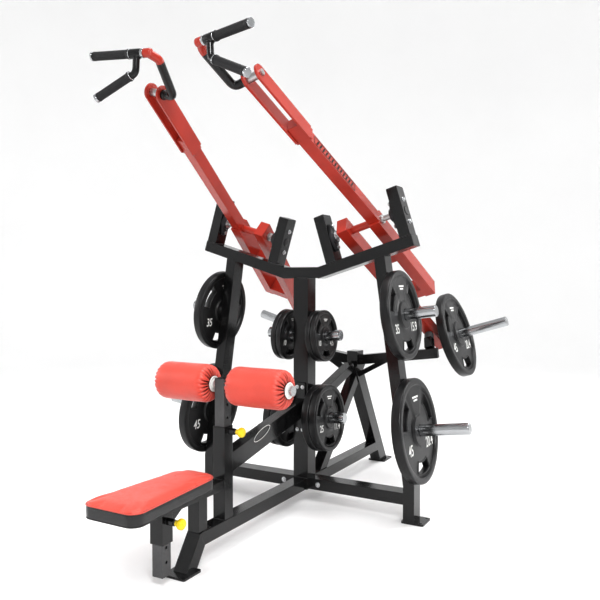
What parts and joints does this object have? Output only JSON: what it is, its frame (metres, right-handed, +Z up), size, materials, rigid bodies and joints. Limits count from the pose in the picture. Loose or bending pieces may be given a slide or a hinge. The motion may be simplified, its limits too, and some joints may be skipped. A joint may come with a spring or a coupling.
{
  "type": "plate-loaded lat pulldown machine",
  "caption": "Plate-loaded lat pulldown with independent red levers, swivelling grips, adjustable seat and thigh rollers, and storage horns with weight plates.",
  "frame": {"origin": "on the floor below the centre of the machine's bounding box", "axes": "+Z up, +X to the right of the user who sits facing the uprights, which is the side the pop-pins are on, and +Y from the seat towards the rear leg"},
  "size_m": [1.5716, 2.2964, 1.8788],
  "materials": {
    "black_frame": "gloss powder coat",
    "red_lever": "gloss powder coat",
    "grey_post": "satin",
    "chrome_horn": "polished",
    "cast_housing": "satin paint",
    "zinc_bolts": "zinc plated",
    "steel_pins": "ground",
    "plate_rubber": "satin",
    "bumper_rubber": "matt",
    "grip_rubber": "matt",
    "handle_black": "gloss powder coat",
    "red_vinyl": "satin vinyl",
    "seat_base": "matt",
    "white_hub": "satin",
    "yellow_knob": "gloss",
    "cap_plastic": "satin"
  },
  "bodies": {
    "frame": {"base_spine": "black_frame", "front_leg": "black_frame", "rear_leg": "black_frame", "foot_plates": "black_frame", "cross_beams": "black_frame", "uprights": "black_frame", "centre_column": "black_frame", "top_yoke": "black_frame", "bearing_posts": "black_frame", "end_caps": "cap_plastic", "bearing_housings": "cast_housing", "frame_bolts": "zinc_bolts", "front_brace": "black_frame", "rear_braces": "black_frame", "rear_junction": "black_frame", "rear_arms": "black_frame", "bumpers": "bumper_rubber", "seat_support": "black_frame", "seat_sleeve": "black_frame", "thigh_sleeve": "black_frame", "sleeve_liners": "cap_plastic", "storage_horns": "chrome_horn"},
    "lever_right": {"lever_beam_right": "red_lever", "lever_arms_right": "red_lever", "fork_plates_right": "red_lever", "lever_pins_right": "steel_pins", "weight_horn_right": "chrome_horn"},
    "handle_arm_right": {"handle_arm_right": "handle_black", "handle_shaft_right": "chrome_horn"},
    "handle_right": {"swivel_handle_right": "handle_black", "grips_right": "grip_rubber"},
    "lever_left": {"lever_beam_left": "red_lever", "lever_arms_left": "red_lever", "fork_plates_left": "red_lever", "lever_pins_left": "steel_pins", "weight_horn_left": "chrome_horn"},
    "handle_arm_left": {"handle_arm_left": "handle_black", "handle_shaft_left": "chrome_horn"},
    "handle_left": {"swivel_handle_left": "handle_black", "grips_left": "grip_rubber"},
    "seat": {"seat_post": "grey_post", "seat_board": "seat_base", "seat_cushion": "red_vinyl"},
    "thigh_rest": {"thigh_post": "grey_post", "roller_axle": "zinc_bolts"},
    "thigh_roller_right": {"roller_right": "red_vinyl", "roller_hubs_right": "white_hub"},
    "thigh_roller_left": {"roller_left": "red_vinyl", "roller_hubs_left": "white_hub"},
    "seat_pop_pin": {"seat_pin": "yellow_knob"},
    "thigh_pop_pin": {"thigh_pin": "yellow_knob"},
    "lever_plate_right_body": {"lever_plate_right": "plate_rubber"},
    "upper_plate_right_body": {"upper_plate_right": "plate_rubber"},
    "upper_plate_left_body": {"upper_plate_left": "plate_rubber"},
    "lower_plate_right_body": {"lower_plate_right": "plate_rubber"},
    "lower_plate_left_body": {"lower_plate_left": "plate_rubber"},
    "upper_peg_plates_right_body": {"upper_peg_plates_right": "plate_rubber"},
    "upper_peg_plates_left_body": {"upper_peg_plates_left": "plate_rubber"},
    "lower_peg_plates_right_body": {"lower_peg_plates_right": "plate_rubber"},
    "lower_peg_plates_left_body": {"lower_peg_plates_left": "plate_rubber"}
  },
  "joints": [
    {"name": "lever_pull_right", "type": "hinge", "parent": "frame", "child": "lever_right", "pos_m": [0.2878, 0.1178, 1.28185], "axis": [0.9563, 0, 0.2924], "range_deg": [0, 60]},
    {"name": "handle_arm_tilt_right", "type": "hinge", "parent": "lever_right", "child": "handle_arm_right", "pos_m": [0.22073, -0.64714, 1.76117], "axis": [0.9563, 0, 0.2924], "range_deg": [-50, 0]},
    {"name": "handle_swivel_right", "type": "hinge", "parent": "handle_arm_right", "child": "handle_right", "pos_m": [0.115, -0.8142, 1.85], "axis": [0.9855, -0.1614, 0.0523], "continuous": true},
    {"name": "roller_spin_right", "type": "hinge", "parent": "thigh_rest", "child": "thigh_roller_right", "pos_m": [0.169, -0.5322, 0.645], "axis": [1, 0, 0], "continuous": true},
    {"name": "lever_pull_left", "type": "hinge", "parent": "frame", "child": "lever_left", "pos_m": [-0.2878, 0.1178, 1.28185], "axis": [0.9563, 0, -0.2924], "range_deg": [0, 60]},
    {"name": "handle_arm_tilt_left", "type": "hinge", "parent": "lever_left", "child": "handle_arm_left", "pos_m": [-0.22073, -0.64714, 1.76117], "axis": [0.9563, 0, -0.2924], "range_deg": [-50, 0]},
    {"name": "handle_swivel_left", "type": "hinge", "parent": "handle_arm_left", "child": "handle_left", "pos_m": [-0.115, -0.8142, 1.85], "axis": [0.9855, 0.1614, -0.0523], "continuous": true},
    {"name": "roller_spin_left", "type": "hinge", "parent": "thigh_rest", "child": "thigh_roller_left", "pos_m": [-0.169, -0.5322, 0.645], "axis": [1, 0, 0], "continuous": true},
    {"name": "seat_height", "type": "slide", "parent": "frame", "child": "seat", "axis": [0, 0, 1], "range_m": [0, 0.102]},
    {"name": "thigh_height", "type": "slide", "parent": "frame", "child": "thigh_rest", "axis": [0, 0, 1], "range_m": [-0.051, 0.102]},
    {"name": "seat_pin_pull", "type": "slide", "parent": "frame", "child": "seat_pop_pin", "axis": [1, 0, 0], "range_m": [0, 0.012], "stiffness_N_per_m": 400, "springref_m": -0.01},
    {"name": "thigh_pin_pull", "type": "slide", "parent": "frame", "child": "thigh_pop_pin", "axis": [1, 0, 0], "range_m": [0, 0.012], "stiffness_N_per_m": 400, "springref_m": -0.01},
    {"name": "lever_plate_slide_right", "type": "slide", "parent": "lever_right", "child": "lever_plate_right_body", "axis": [0.9563, 0, 0.2924], "range_m": [0, 0.25]},
    {"name": "upper_plate_slide_right", "type": "slide", "parent": "frame", "child": "upper_plate_right_body", "axis": [0.99, 0, 0.1409], "range_m": [0, 0.13]},
    {"name": "lower_plate_slide_right", "type": "slide", "parent": "frame", "child": "lower_plate_right_body", "axis": [0.99, 0, 0.1409], "range_m": [0, 0.2]},
    {"name": "upper_peg_slide_right", "type": "slide", "parent": "frame", "child": "upper_peg_plates_right_body", "axis": [0.9976, 0, 0.0698], "range_m": [0, 0.06]},
    {"name": "lower_peg_slide_right", "type": "slide", "parent": "frame", "child": "lower_peg_plates_right_body", "axis": [0.9976, 0, 0.0698], "range_m": [0, 0.06]},
    {"name": "upper_plate_slide_left", "type": "slide", "parent": "frame", "child": "upper_plate_left_body", "axis": [-0.99, 0, 0.1409], "range_m": [0, 0.13]},
    {"name": "lower_plate_slide_left", "type": "slide", "parent": "frame", "child": "lower_plate_left_body", "axis": [-0.99, 0, 0.1409], "range_m": [0, 0.2]},
    {"name": "upper_peg_slide_left", "type": "slide", "parent": "frame", "child": "upper_peg_plates_left_body", "axis": [-0.9976, 0, 0.0698], "range_m": [0, 0.06]},
    {"name": "lower_peg_slide_left", "type": "slide", "parent": "frame", "child": "lower_peg_plates_left_body", "axis": [-0.9976, 0, 0.0698], "range_m": [0, 0.06]}
  ]
}
